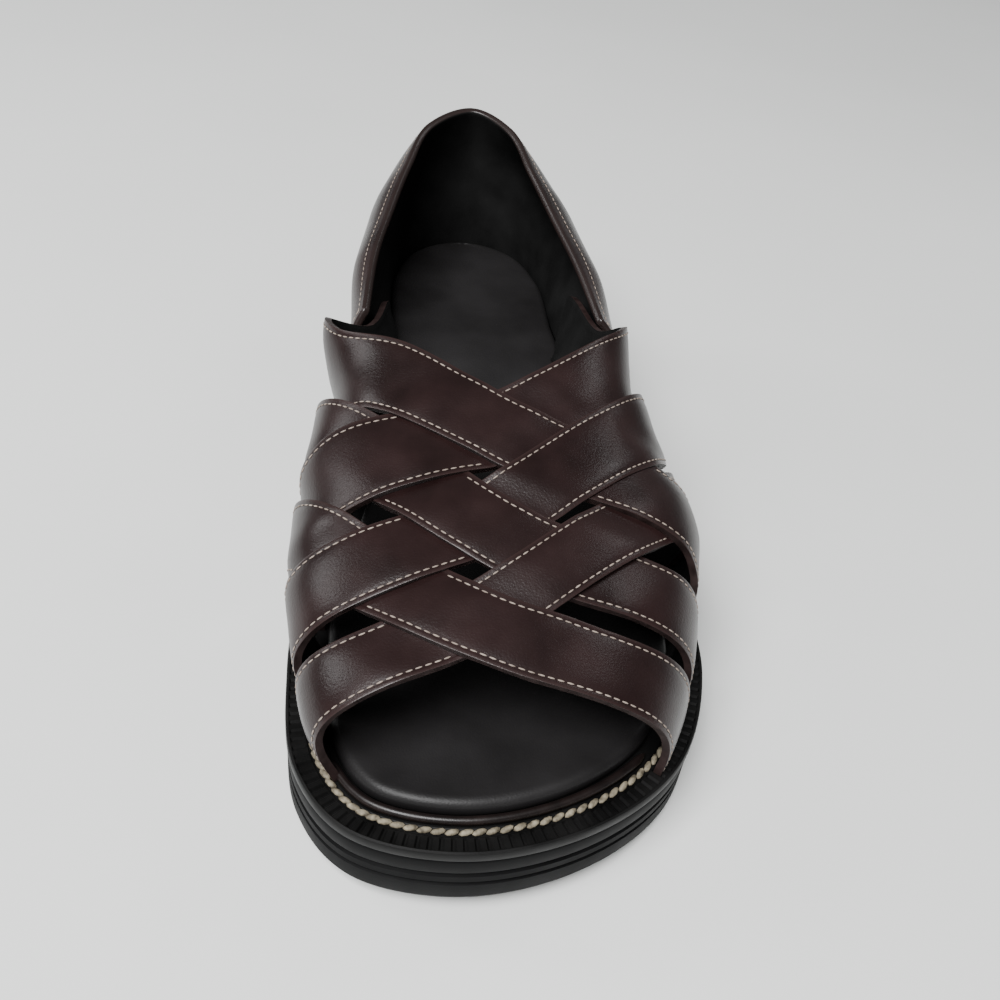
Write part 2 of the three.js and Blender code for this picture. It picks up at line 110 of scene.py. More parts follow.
# Each row: station, inner edge, outer edge
sole_rows = [
    (7, -39, 17), (25, -51.5, 40.5), (55, -55, 53.5), (85, -53.5, 55), (120, -45.5, 50.5),
    (160, -37.5, 42), (200, -35, 36.5), (234, -34, 35), (257, -26, 27), (268, -14, 15),
]
inner_side = [Vector((inner, station)) for station, inner, outer in sole_rows]
outer_side = [Vector((outer, station)) for station, inner, outer in reversed(sole_rows)]
toe_tip = Vector((-13, 0))
heel_back = Vector((0.5, SOLE_LENGTH))
sole_edge = smooth_path([toe_tip] + inner_side + [heel_back] + outer_side, closed=True)


def edge_frame(place):
    step = 0.0002
    along = (sole_edge((place + step) % 1) - sole_edge((place - step) % 1)).normalized()
    return sole_edge(place), Vector((along.y, -along.x))


def edge_place(station, near, far):
    for _ in range(30):
        middle = (near + far) / 2
        if sole_edge(middle).y < station:
            near = middle
        else:
            far = middle
    return (near + far) / 2


def paired_edge(stations):
    inner = [edge_frame(edge_place(s, 0, 0.5)) for s in stations]
    outer = [edge_frame(edge_place(s, 1, 0.5)) for s in reversed(stations)]
    return inner, outer


def round_edge(count):
    turns = [math.pi * i / count for i in range(1, count)]
    inner, outer = paired_edge([SOLE_LENGTH * (1 - math.cos(turn)) / 2 for turn in turns])
    return [edge_frame(0)] + inner + [edge_frame(0.5)] + outer


def ring_points(edge, partner, inset, height, to_middle=0):
    flat = [point + inward * inset for point, inward in edge]
    points = []
    for i, point in enumerate(flat):
        middle = (point + flat[partner(i)]) / 2
        x = point.x + (middle.x - point.x) * to_middle
        y = point.y + (middle.y - point.y) * to_middle
        points.append((x, y - SOLE_LENGTH / 2, float(height(y))))
    return points


def draw_rings(bm, rings):
    ring = bmesh.ops.create_circle(bm, segments=len(rings[0]), radius=1)["verts"]
    edges = list({edge for vert in ring for edge in vert.link_edges})
    for vert, point in zip(ring, rings[0]):
        vert.co = point
    for points in rings[1:]:
        drawn = bmesh.ops.extrude_edge_only(bm, edges=edges)["geom"]
        fresh = {item for item in drawn if isinstance(item, bmesh.types.BMVert)}
        edges = [e for e in drawn if isinstance(e, bmesh.types.BMEdge) and set(e.verts) <= fresh]
        ring = [next(e.other_vert(v) for e in v.link_edges if e.other_vert(v) in fresh) for v in ring]
        for vert, point in zip(ring, points):
            vert.co = point


def close_shell(bm):
    bmesh.ops.remove_doubles(bm, verts=bm.verts, dist=0.01)
    bmesh.ops.dissolve_degenerate(bm, dist=0.001, edges=bm.edges)
    bmesh.ops.recalc_face_normals(bm, faces=bm.faces)


def finished_piece(name, bm, sharp_angle=40):
    bmesh.ops.scale(bm, vec=(MM, MM, MM), verts=bm.verts)
    mesh = bpy.data.meshes.new(name)
    bm.to_mesh(mesh)
    bm.free()
    mesh.shade_smooth()
    mesh.set_sharp_from_angle(angle=math.radians(sharp_angle))
    piece = bpy.data.objects.new(name, mesh)
    bpy.context.collection.objects.link(piece)
    return piece


def surface_finish(name, dark, light, patch, rough, grain, grain_depth, specular):
    material = bpy.data.materials.new(name)
    material.use_nodes = True
    nodes = material.node_tree.nodes
    links = material.node_tree.links
    shader = nodes["Principled BSDF"]
    shader.inputs["Specular IOR Level"].default_value = specular
    place = nodes.new("ShaderNodeTexCoord")
    patches = nodes.new("ShaderNodeTexNoise")
    patches.inputs["Scale"].default_value = 1 / (patch * MM)
    patches.inputs["Detail"].default_value = 4
    links.new(place.outputs["Object"], patches.inputs["Vector"])
    colour = nodes.new("ShaderNodeValToRGB")
    colour.color_ramp.elements[0].position = 0.3
    colour.color_ramp.elements[0].color = (*dark, 1)
    colour.color_ramp.elements[1].position = 0.72
    colour.color_ramp.elements[1].color = (*light, 1)
    links.new(patches.outputs["Fac"], colour.inputs["Fac"])
    links.new(colour.outputs["Color"], shader.inputs["Base Color"])
    polish = nodes.new("ShaderNodeMapRange")
    polish.inputs["From Min"].default_value = 0.3
    polish.inputs["From Max"].default_value = 0.7
    polish.inputs["To Min"].default_value = rough[0]
    polish.inputs["To Max"].default_value = rough[1]
    links.new(patches.outputs["Fac"], polish.inputs["Value"])
    links.new(polish.outputs["Result"], shader.inputs["Roughness"])
    pores = nodes.new("ShaderNodeTexNoise")
    pores.inputs["Scale"].default_value = 1 / (grain * MM)
    pores.inputs["Detail"].default_value = 3
    links.new(place.outputs["Object"], pores.inputs["Vector"])
    bump = nodes.new("ShaderNodeBump")
    bump.inputs["Strength"].default_value = 0.6
    bump.inputs["Distance"].default_value = grain_depth * MM
    links.new(pores.outputs["Fac"], bump.inputs["Height"])
    links.new(bump.outputs["Normal"], shader.inputs["Normal"])
    return material


BAR_PITCH = 7
BAR_GROOVE_DEPTH = 1.2
TREAD_STARTS = 14
TREAD_ENDS = 116
TREAD_INSET = 2
BOTTOM_STEPS = 9
SIDE_INSET = 0.3
SIDE_GROOVE = 3.5
SIDE_GROOVE_INSET = 1.1
HEEL_INSET = 0.5
HEEL_BREAST = 194
HEEL_BLOCK_TOP = 13
HEEL_STEPS = 60


def outsole_top(station):
    return welt_top(station) - WELT_THICKNESS - MIDSOLE_THICKNESS - 2 * LAYER_GAP


def arch(station):
    return toe_spring(station) + ARCH_HEIGHT * smooth_between(station, 118, 178)


def tread(station):
    bar = math.cos(2 * math.pi * station / BAR_PITCH)
    return BAR_GROOVE_DEPTH * float(smooth_between(bar, 0.25, 0.7))


def barred_bottom(station):
    if TREAD_STARTS < station < TREAD_ENDS:
        return arch(station) + tread(station)
    return arch(station)


def flat(station):
    return 0


sole_ring = round_edge(320)
sole_count = len(sole_ring)


def across(i):
    return (sole_count - i) % sole_count


outsole = bmesh.new()
outsole_rings = [ring_points(sole_ring, across, TREAD_INSET, arch, 1)]
for k in range(1, BOTTOM_STEPS + 1):
    bottom = barred_bottom if k < BOTTOM_STEPS - 1 else arch
    outsole_rings.append(ring_points(sole_ring, across, TREAD_INSET, bottom, 1 - k / BOTTOM_STEPS))
for inset, height in [
    (1.0, lambda s: arch(s) + 0.5),
    (SIDE_INSET, lambda s: arch(s) + 2),
    (SIDE_INSET, lambda s: outsole_top(s) - SIDE_GROOVE - 0.7),
    (SIDE_GROOVE_INSET, lambda s: outsole_top(s) - SIDE_GROOVE - 0.25),
    (SIDE_GROOVE_INSET, lambda s: outsole_top(s) - SIDE_GROOVE + 0.25),
    (SIDE_INSET, lambda s: outsole_top(s) - SIDE_GROOVE + 0.7),
    (SIDE_INSET, lambda s: outsole_top(s) - 0.8),
    (SIDE_GROOVE_INSET, outsole_top),
]:
    outsole_rings.append(ring_points(sole_ring, across, inset, height))
outsole_rings.append(ring_points(sole_ring, across, SIDE_GROOVE_INSET, outsole_top, 1))
draw_rings(outsole, outsole_rings)
heel_reach = SOLE_LENGTH - HEEL_BREAST
heel_inner, heel_outer = paired_edge([
    HEEL_BREAST + heel_reach * math.sin(math.pi / 2 * i / HEEL_STEPS) for i in range(HEEL_STEPS)
])
heel_ring = heel_inner + [edge_frame(0.5)] + heel_outer
heel_last = len(heel_ring) - 1
heel_rings = [
    ring_points(heel_ring, lambda i: heel_last - i, inset, height, to_middle)
    for inset, height, to_middle in [
        (TREAD_INSET, flat, 1),
        (TREAD_INSET, tread, 0.7),
        (TREAD_INSET, tread, 0.4),
        (TREAD_INSET, tread, 0.15),
        (TREAD_INSET, flat, 0.1),
        (TREAD_INSET, flat, 0),
        (1.1, lambda s: 0.5, 0),
        (HEEL_INSET, lambda s: 2, 0),
        (HEEL_INSET, lambda s: HEEL_BLOCK_TOP, 0),
        (HEEL_INSET, lambda s: HEEL_BLOCK_TOP, 1),
    ]
]
draw_rings(outsole, heel_rings)
close_shell(outsole)
outsole = finished_piece("rubber_outsole", outsole)
sole_rubber = surface_finish(
    "sole_rubber",
    dark=(0.0014, 0.0014, 0.0016),
    light=(0.0036, 0.0036, 0.0039),
    patch=18,
    rough=(0.55, 0.72),
    grain=0.5,
    grain_depth=0.05,
    specular=0.09,
)
outsole.data.materials.append(sole_rubber)
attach(outsole, "root")
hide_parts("outsole")

# Midsole: a cut sheet of black rubber between the outsole and the welt, buffed flush with both.
# Its edges are broken a little, so that the joints show as fine lines.
midsole = bmesh.new()


def midsole_top(station):
    return welt_top(station) - WELT_THICKNESS - LAYER_GAP


def midsole_bottom(station):
    return midsole_top(station) - MIDSOLE_THICKNESS


draw_rings(midsole, [
    ring_points(sole_ring, across, inset, height, to_middle)
    for inset, height, to_middle in [
        (1.0, midsole_bottom, 1),
        (1.0, midsole_bottom, 0),
        (0.5, lambda s: midsole_bottom(s) + 0.25, 0),
        (SIDE_INSET, lambda s: midsole_bottom(s) + 0.7, 0),
        (SIDE_INSET, lambda s: midsole_top(s) - 0.7, 0),
        (0.5, lambda s: midsole_top(s) - 0.25, 0),
        (1.0, midsole_top, 0),
        (1.0, midsole_top, 1),
    ]
])
close_shell(midsole)
midsole = finished_piece("rubber_midsole", midsole)
midsole_rubber = surface_finish(
    "midsole_rubber",
    dark=(0.0015, 0.0015, 0.0017),
    light=(0.0038, 0.0038, 0.0041),
    patch=14,
    rough=(0.5, 0.66),
    grain=0.4,
    grain_depth=0.04,
    specular=0.1,
)
midsole.data.materials.append(midsole_rubber)
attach(midsole, "root")
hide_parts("midsole")

# Welt: a black strip sewn round the upper, its top wheeled with short bars across the edge.
# A plain rim is left outside the bars, and the seam runs in a channel inside them.
# Bars and channel grow narrower towards the heel, where the quarter stands near the edge.
WELT_WIDTH = 11
BARS = 236
POINTS_PER_BAR = 6
BARS_OUTER = 1.15
BARS_INNER = 4.3
BAR_NICK = 0.6
BARS_DROP = 0.1
CHANNEL_OUTER = 4.8
CHANNEL_INNER = 6.6
CHANNEL_DROP = 0.35
WALK_STEPS = 4000


def even_edge(count):
    walked = [0.0]
    for i in range(WALK_STEPS):
        step = sole_edge((i + 1) / WALK_STEPS) - sole_edge(i / WALK_STEPS)
        walked.append(walked[-1] + step.length)
    wanted = np.linspace(0, walked[-1], count, endpoint=False)
    return [edge_frame(place) for place in np.interp(wanted, walked, np.linspace(0, 1, WALK_STEPS + 1))]


welt_edge = even_edge(BARS * POINTS_PER_BAR)


def seam_share(station):
    return 1 - 0.5 * float(smooth_between(station, 130, 165))


def welt_ring(inset, drop, nick=0):
    points = []
    for i, (point, inward) in enumerate(welt_edge):
        share = seam_share(point.y) if BARS_OUTER <= inset < WELT_WIDTH else 1
        spot = point + inward * inset * share
        notch = nick if i % POINTS_PER_BAR in (0, 1) else 0
        points.append((spot.x, spot.y - SOLE_LENGTH / 2, float(welt_top(spot.y)) - drop - notch))
    return points


welt = bmesh.new()
draw_rings(welt, [
    welt_ring(WELT_WIDTH, WELT_THICKNESS),
    welt_ring(0.6, WELT_THICKNESS),
    welt_ring(0.15, 3.0),
    welt_ring(0, 2.6),
    welt_ring(0, 0.7),
    welt_ring(0.2, 0.25),
    welt_ring(0.7, 0.05),
    welt_ring(0.95, BARS_DROP),
    welt_ring(BARS_OUTER, BARS_DROP, BAR_NICK),
    welt_ring(BARS_INNER, BARS_DROP, BAR_NICK),
    welt_ring(4.5, BARS_DROP),
    welt_ring(CHANNEL_OUTER, CHANNEL_DROP),
    welt_ring(CHANNEL_INNER, CHANNEL_DROP),
    welt_ring(7.0, 0),
    welt_ring(WELT_WIDTH, 0),
    welt_ring(WELT_WIDTH, WELT_THICKNESS),
])
close_shell(welt)
welt = finished_piece("wheeled_welt", welt, 30)
welt_rubber = surface_finish(
    "welt_rubber",
    dark=(0.002, 0.00195, 0.00195),
    light=(0.0055, 0.0053, 0.0052),
    patch=9,
    rough=(0.42, 0.58),
    grain=0.35,
    grain_depth=0.05,
    specular=0.18,
)
welt.data.materials.append(welt_rubber)
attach(welt, "root")
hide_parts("welt")

# Welt seam: thick waxed cream cord in a lock stitch, laid in the channel of the welt.
# Each stitch shows as a short plump bead that lies a little aslant.
BEAD_PITCH = 3.4
BEAD_HALF_SIZES = (1.85, 0.78, 0.65)
BEAD_SLANT = 16
BEAD_RISE = 0.25
SEAM_INSET = 5.75
GIRTH_STEPS = 900
welt_girth = 0
for i in range(GIRTH_STEPS):
    welt_girth += (sole_edge((i + 1) / GIRTH_STEPS) - sole_edge(i / GIRTH_STEPS)).length
seam = bmesh.new()
for point, inward in even_edge(round(welt_girth / BEAD_PITCH)):
    middle = point + inward * SEAM_INSET * seam_share(point.y)
    height = float(welt_top(middle.y)) + BEAD_RISE
    along = Vector((-inward.y, inward.x, 0))
    slant = Matrix.Rotation(math.radians(BEAD_SLANT), 3, "Z") @ along
    side = Vector((-slant.y, slant.x, 0))
    turn = Matrix((slant, side, Vector((0, 0, 1)))).transposed().to_4x4()
    shape = Matrix.Diagonal((*BEAD_HALF_SIZES, 1))
    spot = Matrix.Translation((middle.x, middle.y - SOLE_LENGTH / 2, height))
    bmesh.ops.create_uvsphere(seam, u_segments=8, v_segments=6, radius=1, matrix=spot @ turn @ shape)
seam = finished_piece("welt_seam", seam, 180)
waxed_cord = surface_finish(
    "waxed_cord",
    dark=(0.06, 0.05, 0.034),
    light=(0.31, 0.27, 0.195),
    patch=1.3,
    rough=(0.6, 0.8),
    grain=0.3,
    grain_depth=0.12,
    specular=0.3,
)
seam.data.materials.append(waxed_cord)
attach(seam, "root")

# Footbed: a foam pad covered in smooth black leather, turned under and set inside the welt.
# Its edge is rounded and stands proud, and its top is dished at the heel and the ball.
PAD_HEIGHT = 4.5
PAD_ROUND = 2.6
PAD_INSET = 10.2
PAD_PLUG_INSET = 11.6
PAD_WIDER_AT_HEEL = 2.8
ROUND_STEPS = 6
DISH_STEPS = 10
HEEL_CUP = 0.9
BALL_DISH = 0.6


def pad_dish(station):
    heel_cup = HEEL_CUP * np.exp(-(((station - 225) / 30) ** 2))
    ball = BALL_DISH * np.exp(-(((station - 80) / 26) ** 2))
    return heel_cup + ball


footbed = bmesh.new()
pad_rings = [
    (PAD_PLUG_INSET, lambda s: welt_top(s) - WELT_THICKNESS, 1),
    (PAD_PLUG_INSET, lambda s: welt_top(s) - WELT_THICKNESS, 0),
    (PAD_PLUG_INSET, lambda s: welt_top(s) + LAYER_GAP, 0),
    (10.5, lambda s: welt_top(s) + LAYER_GAP, 0),
    (PAD_INSET, lambda s: welt_top(s) + 0.7, 0),
]
for k in range(ROUND_STEPS + 1):
    lean = math.pi / 2 * k / ROUND_STEPS
    inset = PAD_INSET + PAD_ROUND * (1 - math.cos(lean))
    rise = PAD_HEIGHT - PAD_ROUND * (1 - math.sin(lean))
    pad_rings.append((inset, lambda s, r=rise: welt_top(s) + r, 0))
for k in range(1, DISH_STEPS + 1):
    inset = PAD_INSET + PAD_ROUND
    dish = float(smooth_between(k / DISH_STEPS, 0, 0.7))
    pad_rings.append((inset, lambda s, d=dish: welt_top(s) + PAD_HEIGHT - d * pad_dish(s), k / DISH_STEPS))
pad_edge = []
for point, inward in sole_ring:
    wider = PAD_WIDER_AT_HEEL * float(smooth_between(point.y, 140, 172))
    pad_edge.append((point - inward * wider, inward))
draw_rings(footbed, [ring_points(pad_edge, across, *ring) for ring in pad_rings])
close_shell(footbed)
footbed = finished_piece("padded_footbed", footbed)
footbed_leather = surface_finish(
    "footbed_leather",
    dark=(0.008, 0.0074, 0.0076),
    light=(0.0145, 0.0135, 0.014),
    patch=26,
    rough=(0.42, 0.56),
    grain=0.5,
    grain_depth=0.11,
    specular=0.3,
)
footbed.data.materials.append(footbed_leather)
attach(footbed, "root")
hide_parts("insole")

# Toe roll: a thin strip of dark brown leather folded over a cord, sewn in along the open toe.
# It lies on the welt between the seam and the footbed, and runs under the front straps.
ROLL_RADIUS = 1.1
ROLL_INSET = 8.3
ROLL_STEPS = 40
ROLL_SIDES = 12
ROLL_TAPER_STEPS = 3
roll_places = np.concatenate([
    np.linspace(edge_place(23, 0, 0.5), 0, ROLL_STEPS, endpoint=False),
    np.linspace(1, edge_place(22, 1, 0.5), ROLL_STEPS),
])
roll = bmesh.new()
roll_rings = []
for i, place in enumerate(roll_places):
    point, inward = edge_frame(place)
    middle = point + inward * ROLL_INSET
    from_end = min(i, len(roll_places) - 1 - i) + 0.001
    radius = ROLL_RADIUS * min(1, from_end / ROLL_TAPER_STEPS) ** 0.5
    height = float(welt_top(middle.y)) + 0.1 + ROLL_RADIUS
    ring = []
    for k in range(ROLL_SIDES):
        around = 2 * math.pi * k / ROLL_SIDES
        spot = middle + inward * (radius * math.cos(around))
        ring.append((spot.x, spot.y - SOLE_LENGTH / 2, height + radius * math.sin(around)))
    roll_rings.append(ring)
draw_rings(roll, roll_rings)
bmesh.ops.holes_fill(roll, edges=roll.edges, sides=0)
close_shell(roll)
roll = finished_piece("toe_roll", roll, 60)
roll_leather = surface_finish(
    "roll_leather",
    dark=(0.0042, 0.0031, 0.003),
    light=(0.0115, 0.0068, 0.0062),
    patch=6,
    rough=(0.3, 0.42),
    grain=0.4,
    grain_depth=0.04,
    specular=0.4,
)
roll.data.materials.append(roll_leather)
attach(roll, "root")
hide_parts("rand")

# Woven straps: six bands of brushed dark brown leather, lined in black and cut with a painted edge.
# They weave over the last, three leaning each way, and their feet are lasted down onto the welt.
# A girth is a distance over the last from the ridge of the instep, positive to the outer side.
STRAP_THICKNESS = 2.0
WEAVE_LIFT = 1.05
WEAVE_RAMP = (0.5, 11)
SAME_WAY_LAP = 4
TAB_END = 79
TAB_RISE = 8
TAB_TUCK = 5
FULLER_REACH = 23
GIRTH_LIMIT = 124


def table_curve(keys, values):
    keys = np.array(keys, float)
    values = np.array(values, float)
    last = len(keys) - 1
    after = np.minimum(np.arange(last + 1) + 1, last)
    before = np.maximum(np.arange(last + 1) - 1, 0)
    slopes = (values[after] - values[before]) / (keys[after] - keys[before])

    def at(key):
        key = np.clip(key, keys[0], keys[-1])
        i = np.clip(np.searchsorted(keys, key) - 1, 0, last - 1)
        span = keys[i + 1] - keys[i]
        u = (key - keys[i]) / span
        rise = values[i + 1] - values[i]
        cubic = span * (slopes[i] + slopes[i + 1]) - 2 * rise
        square = 3 * rise - span * (2 * slopes[i] + slopes[i + 1])
        return values[i] + u * (span * slopes[i] + u * (square + u * cubic))

    return at


# Each row: station, inner edge, outer edge, ridge across, ridge height, swell in, swell out, shoulder
last_rows = [
    (10, -36, 26, -12, 50, 7, 5, 0.8), (25, -43.5, 36, -11, 53, 9, 3, 0.75),
    (40, -46.5, 43, -9, 56, 10, 3, 0.7), (60, -47.5, 47.5, -6, 61, 12, 5, 0.62),
    (80, -46.5, 48.5, -3, 65.5, 12.5, 8, 0.6), (100, -44, 46.5, -1, 70.5, 15, 7, 0.6),
    (120, -40, 42.5, 0, 77, 14, 4, 0.48), (144, -35, 38, 0, 84, 17, 4, 0.2),
    (162, -30, 33, 0, 88, 9, 5, 0.3), (190, -29, 31, 0, 91, 4, 4, 0.4),
]
last_stations = [row[0] for row in last_rows]
last_columns = [table_curve(last_stations, [row[k] for row in last_rows]) for k in range(1, 8)]
girth_marks = np.arange(-GIRTH_LIMIT, GIRTH_LIMIT + 0.5, 0.5)
station_marks = np.arange(0, 201, 1.0)
last_x = np.zeros((len(station_marks), len(girth_marks)))
last_z = np.zeros_like(last_x)
section_angles = np.linspace(0, math.pi, 121)
ridge_index = len(section_angles) // 2
for row, station in enumerate(station_marks):
    inner, outer, ridge_x, ridge_z, swell_in, swell_out, shoulder = [c(station) for c in last_columns]
    feather = welt_top(station) + 1
    cos = np.cos(section_angles)
    sin = np.sin(section_angles)
    is_outer = cos >= 0
    half = np.where(is_outer, outer - ridge_x, ridge_x - inner)
    swell = np.where(is_outer, swell_out, swell_in) * 2 * sin * np.abs(cos)
    x = ridge_x + np.where(is_outer, 1, -1) * (half + swell) * np.abs(cos) ** shoulder
    z = feather + (ridge_z - feather) * np.abs(sin) ** 0.9
    walked = np.concatenate([[0], np.cumsum(np.hypot(np.diff(x), np.diff(z)))])
    girth = walked[ridge_index] - walked
    last_x[row] = np.interp(girth_marks, girth[::-1], x[::-1])
    beyond = np.maximum(0, np.maximum(girth_marks - girth[0], girth[-1] - girth_marks))
    last_z[row] = np.interp(girth_marks, girth[::-1], z[::-1]) - beyond


def on_last(girth, station):
    row = np.clip(station, 0, station_marks[-1] - 0.01)
    cell = np.clip((girth + GIRTH_LIMIT) * 2, 0, len(girth_marks) - 1.01)
    i = row.astype(int)
    j = cell.astype(int)
    u = row - i
    v = cell - j
    found = []
    for table in (last_x, last_z):
        near = table[i, j] * (1 - v) + table[i, j + 1] * v
        far = table[i + 1, j] * (1 - v) + table[i + 1, j + 1] * v
        found.append(near * (1 - u) + far * u)
    return np.stack([found[0], station - SOLE_LENGTH / 2, found[1]], -1)


def last_normal(girth, station):
    over = on_last(girth + 1.5, station) - on_last(girth - 1.5, station)
    along = on_last(girth, station + 1.5) - on_last(girth, station - 1.5)
    out = np.cross(over, along)
    return out / np.linalg.norm(out, axis=-1, keepdims=True)


# Each row: side of the rear end, order from the rear, width, girth at the rear end, the places where
# an edge is fuller (the rear edge if positive, the front edge if negative), and the middle line's
# stations from the rear end to the front foot
strap_rows = [
    (-1, 1, 19.5, TAB_END, [(-4, 64), (3, -54)], (185, 135, 113, 93, 82, 78, 77)),
    (-1, 2, 17.5, 90, [(2, 28)], (127, 111, 85, 62.5, 53, 52, 53)),
    (-1, 3, 17, 90, [], (92, 79, 55.5, 37.5, 30, 30, 32)),
    (1, 1, 22, TAB_END, [(5.5, -42)], (189.5, 146, 115, 95.5, 86, 82, 80)),
    (1, 2, 20, 90, [], (136, 120, 94, 69, 56, 52, 52)),
    (1, 3, 17, 90, [(-5, 72)], (106, 92, 66, 42, 31, 29, 30)),
]


class Strap:
    def __init__(self, rear_side, order, width, rear_girth, fuller_spots, stations):
        self.rear_side = rear_side
        self.order = order
        self.width = width
        self.fuller_spots = fuller_spots
        self.line = table_curve([-rear_girth, -60, -30, 0, 30, 60, 90], stations)

    def centre(self, girth):
        return self.line(-girth * self.rear_side)

    def slope(self, girth):
        return self.centre(girth + 0.5) - self.centre(girth - 0.5)

    def spot(self, run, aside):
        reach = run * self.rear_side
        half = self.width / 2
        wider = aside
        for extra, where in self.fuller_spots:
            near = np.exp(-(((reach - where) / FULLER_REACH) ** 2))
            wider = wider + extra * near * np.maximum(0, aside * np.sign(extra)) / half
        slope = self.slope(run)
        scale = 1 / np.hypot(1, slope)
        rise = TAB_RISE * smooth_between(reach, 64, TAB_END) if self.order == 1 else 0
        girth = run - wider * slope * scale - rise * self.rear_side
        return girth, self.centre(run) + wider * scale

    def away(self, girth, station):
        return np.abs(station - self.centre(girth)) / np.hypot(1, self.slope(girth))

    def lies_over(self, other):
        if other.rear_side == self.rear_side:
            return self.order > other.order
        return ((other.order + self.order) % 2 == 0) == (self.rear_side < 0)

    def lift(self, girth, station):
        total = 0
        for other in straps:
            if other is self:
                continue
            same_way = other.rear_side == self.rear_side
            reach = other.width / 2 - (SAME_WAY_LAP if same_way else 0)
            ramp = [reach + step for step in WEAVE_RAMP]
            held = 1 - smooth_between(other.away(girth, station), *ramp)
            total = total + (1 if self.lies_over(other) else -1) * held * WEAVE_LIFT
        return np.clip(total, -WEAVE_LIFT, WEAVE_LIFT)

    def tuck(self, run, aside):
        if self.order > 1:
            return 0 * aside
        return TAB_TUCK * (0.5 - aside / self.width) * smooth_between(run * self.rear_side, 30, 58)

    def point(self, run, aside, height):
        girth, station = self.spot(run, aside)
        lift = self.lift(girth, station) + height - self.tuck(run, aside)
        return on_last(girth, station) + last_normal(girth, station) * lift[..., None]

    def foot(self, side, asides):
        runs = np.arange(40, 112, 0.25)[:, None] * side
        points = self.point(runs + 0 * asides, asides + 0 * runs, STRAP_THICKNESS / 2)
        stations = points[..., 1] + SOLE_LENGTH / 2
        landed = points[..., 2] < welt_top(stations) + 0.15
        first = np.where(landed.any(0), landed.argmax(0), len(runs) - 1)
        return runs[first, 0]


straps = [Strap(*row) for row in strap_rows]
STRAP_STEPS = 150
STITCH_INSET = 1.4
EDGE_BAND = 3.4
SEAM_DIP = 0.16
CROWN = 0.3
vamp = bmesh.new()
from_edge = vamp.verts.layers.float.new("from_edge")
for strap in straps:
    half = strap.width / 2
    edge_steps = [0, 0.3, 0.7, STITCH_INSET - 0.4, STITCH_INSET, STITCH_INSET + 0.5, EDGE_BAND]
    left = np.array([-half + step for step in edge_steps])
    middle = np.linspace(-half + EDGE_BAND, half - EDGE_BAND, 8)[1:-1]
    asides = np.concatenate([left, middle, -left[::-1]])
    front_end = strap.foot(-strap.rear_side, asides)
    rear_end = strap.foot(strap.rear_side, asides)
    if strap.order == 1:
        rear_end = np.full(len(asides), float(TAB_END * strap.rear_side))
    share = np.linspace(0, 1, STRAP_STEPS + 1)[:, None]
    runs = front_end + (rear_end - front_end) * share
    aside_grid = asides + 0 * share
    to_edge = half - np.abs(aside_grid)
    crown = -CROWN * np.clip(np.abs(aside_grid) / half, 0, 1) ** 4
    seam_dip = -SEAM_DIP * np.exp(-(((to_edge - STITCH_INSET) / 0.45) ** 2))
    points = strap.point(runs, aside_grid, STRAP_THICKNESS / 2 + crown + seam_dip)
    columns = len(asides) - 1
    made = bmesh.ops.create_grid(vamp, x_segments=columns, y_segments=STRAP_STEPS, size=1)["verts"]
    for vert in made:
        j = round((vert.co.x + 1) / 2 * columns)
        i = round((vert.co.y + 1) / 2 * STRAP_STEPS)
        vert.co = points[i, j]
        vert[from_edge] = to_edge[i, j]
    faces = {face for vert in made for face in vert.link_faces}
    i = STRAP_STEPS // 2
    j = columns // 2
    centre = Vector(points[i, j])
    middle_face = min(faces, key=lambda face: (face.calc_center_median() - centre).length)
    middle_face.normal_update()
    out = last_normal(*strap.spot(runs[i:i + 1, j], aside_grid[i:i + 1, j]))[0]
    if middle_face.normal.dot(Vector(out)) < 0:
        bmesh.ops.reverse_faces(vamp, faces=list(faces))
vamp = finished_piece("woven_straps", vamp, 60)
strap_leather = surface_finish(
    "strap_leather",
    dark=(0.0088, 0.0040, 0.0039),
    light=(0.0182, 0.0082, 0.0080),
    patch=16,
    rough=(0.27, 0.37),
    grain=0.55,
    grain_depth=0.1,
    specular=0.34,
)
strap_lining = surface_finish(
    "strap_lining",
    dark=(0.0028, 0.0028, 0.0028),
    light=(0.0055, 0.0055, 0.0055),
    patch=10,
    rough=(0.6, 0.75),
    grain=0.4,
    grain_depth=0.06,
    specular=0.25,
)
edge_paint = surface_finish(
    "edge_paint",
    dark=(0.012, 0.0068, 0.0064),
    light=(0.030, 0.0175, 0.0165),
    patch=3,
    rough=(0.4, 0.52),
    grain=0.4,
    grain_depth=0.06,
    specular=0.35,
)


# Mixes a lighter colour into the face within about a millimetre of each cut edge, as a painted edge
# highlight.
def paint_edge_highlight(material, edge_highlight):
    nodes = material.node_tree.nodes
    links = material.node_tree.links
    shader = nodes["Principled BSDF"]
    colour = shader.inputs["Base Color"].links[0].from_socket
    distance = nodes.new("ShaderNodeAttribute")
    distance.attribute_name = "from_edge"
    near = nodes.new("ShaderNodeMapRange")
    near.inputs["From Min"].default_value = 0.15
    near.inputs["From Max"].default_value = 1.0
    near.inputs["To Min"].default_value = 0.75
    near.inputs["To Max"].default_value = 0
    links.new(distance.outputs["Fac"], near.inputs["Value"])
    highlighted = nodes.new("ShaderNodeMix")
    highlighted.data_type = "RGBA"
    highlighted.inputs["B"].default_value = (*edge_highlight, 1)
    links.new(near.outputs["Result"], highlighted.inputs["Factor"])
    links.new(colour, highlighted.inputs["A"])
    links.new(highlighted.outputs["Result"], shader.inputs["Base Color"])


